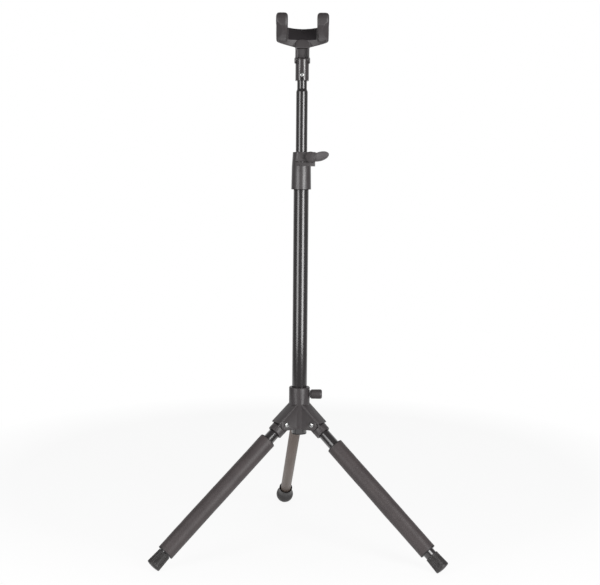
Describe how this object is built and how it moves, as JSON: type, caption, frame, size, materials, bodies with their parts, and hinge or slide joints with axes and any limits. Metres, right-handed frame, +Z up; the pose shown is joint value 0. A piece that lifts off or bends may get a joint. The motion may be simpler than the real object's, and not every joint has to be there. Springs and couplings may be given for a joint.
{
  "type": "trumpet stand",
  "caption": "Folding tripod instrument stand with a height-adjustable column, clamp lever and tilting neck yoke.",
  "frame": {"origin": "on the floor under the middle of the stand's bounding box; the column stands 63.2 mm in front of it", "axes": "+Z up along the column, -Y to the front where the two foam-sleeved legs spread, +X to the viewer's right, on the side of the hub's knob and the clamp's lever"},
  "size_m": [0.4718, 0.4106, 0.8791],
  "materials": {
    "moulding": "dark charcoal moulded plastic with a soft satin grain",
    "gloss_black_tube": "gloss black stoved paint on steel tube",
    "grey_tube": "warm grey satin paint on steel tube",
    "rubber": "matt dark grey rubber",
    "foam": "soft charcoal foam with a fine open grain",
    "zinc": "bright zinc-plated steel",
    "black_plastic": "black nylon"
  },
  "bodies": {
    "hub": {"hub": "moulding", "left_pivot_screw": "zinc", "left_pivot_nut": "zinc", "right_pivot_screw": "zinc", "right_pivot_nut": "zinc", "rear_pivot_screw": "zinc", "rear_pivot_nut": "zinc"},
    "hub_knob": {"hub_knob": "moulding", "knob_screw": "zinc"},
    "left_leg": {"left_knuckle": "moulding", "left_leg_tube": "gloss_black_tube", "left_foam_sleeve": "foam", "left_leg_cap": "rubber"},
    "right_leg": {"right_knuckle": "moulding", "right_leg_tube": "gloss_black_tube", "right_foam_sleeve": "foam", "right_leg_cap": "rubber"},
    "rear_leg": {"rear_knuckle": "moulding", "rear_leg_tube": "grey_tube", "rear_foot": "rubber"},
    "end_plug": {"tube_end_plug": "black_plastic"},
    "lower_column": {"lower_tube": "gloss_black_tube", "clamp_collar": "moulding", "clamp_nut": "zinc"},
    "clamp_lever": {"clamp_lever": "moulding", "clamp_bolt": "zinc"},
    "glide_bush": {"glide_bush": "black_plastic"},
    "upper_column": {"upper_tube": "gloss_black_tube", "yoke_socket": "moulding", "socket_screw": "zinc", "yoke_hinge_pin": "zinc"},
    "yoke": {"yoke": "moulding"}
  },
  "joints": [
    {"name": "left_leg_fold", "type": "hinge", "parent": "hub", "child": "left_leg", "pos_m": [-0.02668, -0.07861, 0.21153], "axis": [0.5, -0.866, 0], "range_deg": [0, 48.7]},
    {"name": "right_leg_fold", "type": "hinge", "parent": "hub", "child": "right_leg", "pos_m": [0.02668, -0.07861, 0.21153], "axis": [0.5, 0.866, 0], "range_deg": [0, 48.7]},
    {"name": "rear_leg_fold", "type": "hinge", "parent": "hub", "child": "rear_leg", "pos_m": [-0.00322, -0.03258, 0.21153], "axis": [-0.9945, -0.1045, 0], "range_deg": [0, 48.7]},
    {"name": "hub_knob_turn", "type": "hinge", "parent": "hub", "child": "hub_knob", "pos_m": [0, -0.06321, 0.25879], "axis": [1, 0, 0], "range_deg": [0, 360]},
    {"name": "column_slide", "type": "slide", "parent": "hub", "child": "end_plug", "axis": [0, 0, 1], "range_m": [-0.18, 0.025]},
    {"name": "column_turn", "type": "hinge", "parent": "end_plug", "child": "lower_column", "pos_m": [0, -0.06321, 0.2], "axis": [0, 0, 1], "continuous": true},
    {"name": "upper_tube_slide", "type": "slide", "parent": "lower_column", "child": "glide_bush", "axis": [0, 0, 1], "range_m": [-0.115, 0.135]},
    {"name": "upper_tube_turn", "type": "hinge", "parent": "glide_bush", "child": "upper_column", "pos_m": [0, -0.06321, 0.5], "axis": [0, 0, 1], "continuous": true},
    {"name": "clamp_lever_turn", "type": "hinge", "parent": "lower_column", "child": "clamp_lever", "pos_m": [0.0145, -0.06321, 0.65189], "axis": [0, -1, 0], "range_deg": [0, 180]},
    {"name": "yoke_fold", "type": "hinge", "parent": "upper_column", "child": "yoke", "pos_m": [0, -0.06321, 0.80769], "axis": [1, 0, 0], "range_deg": [0, 90]}
  ]
}
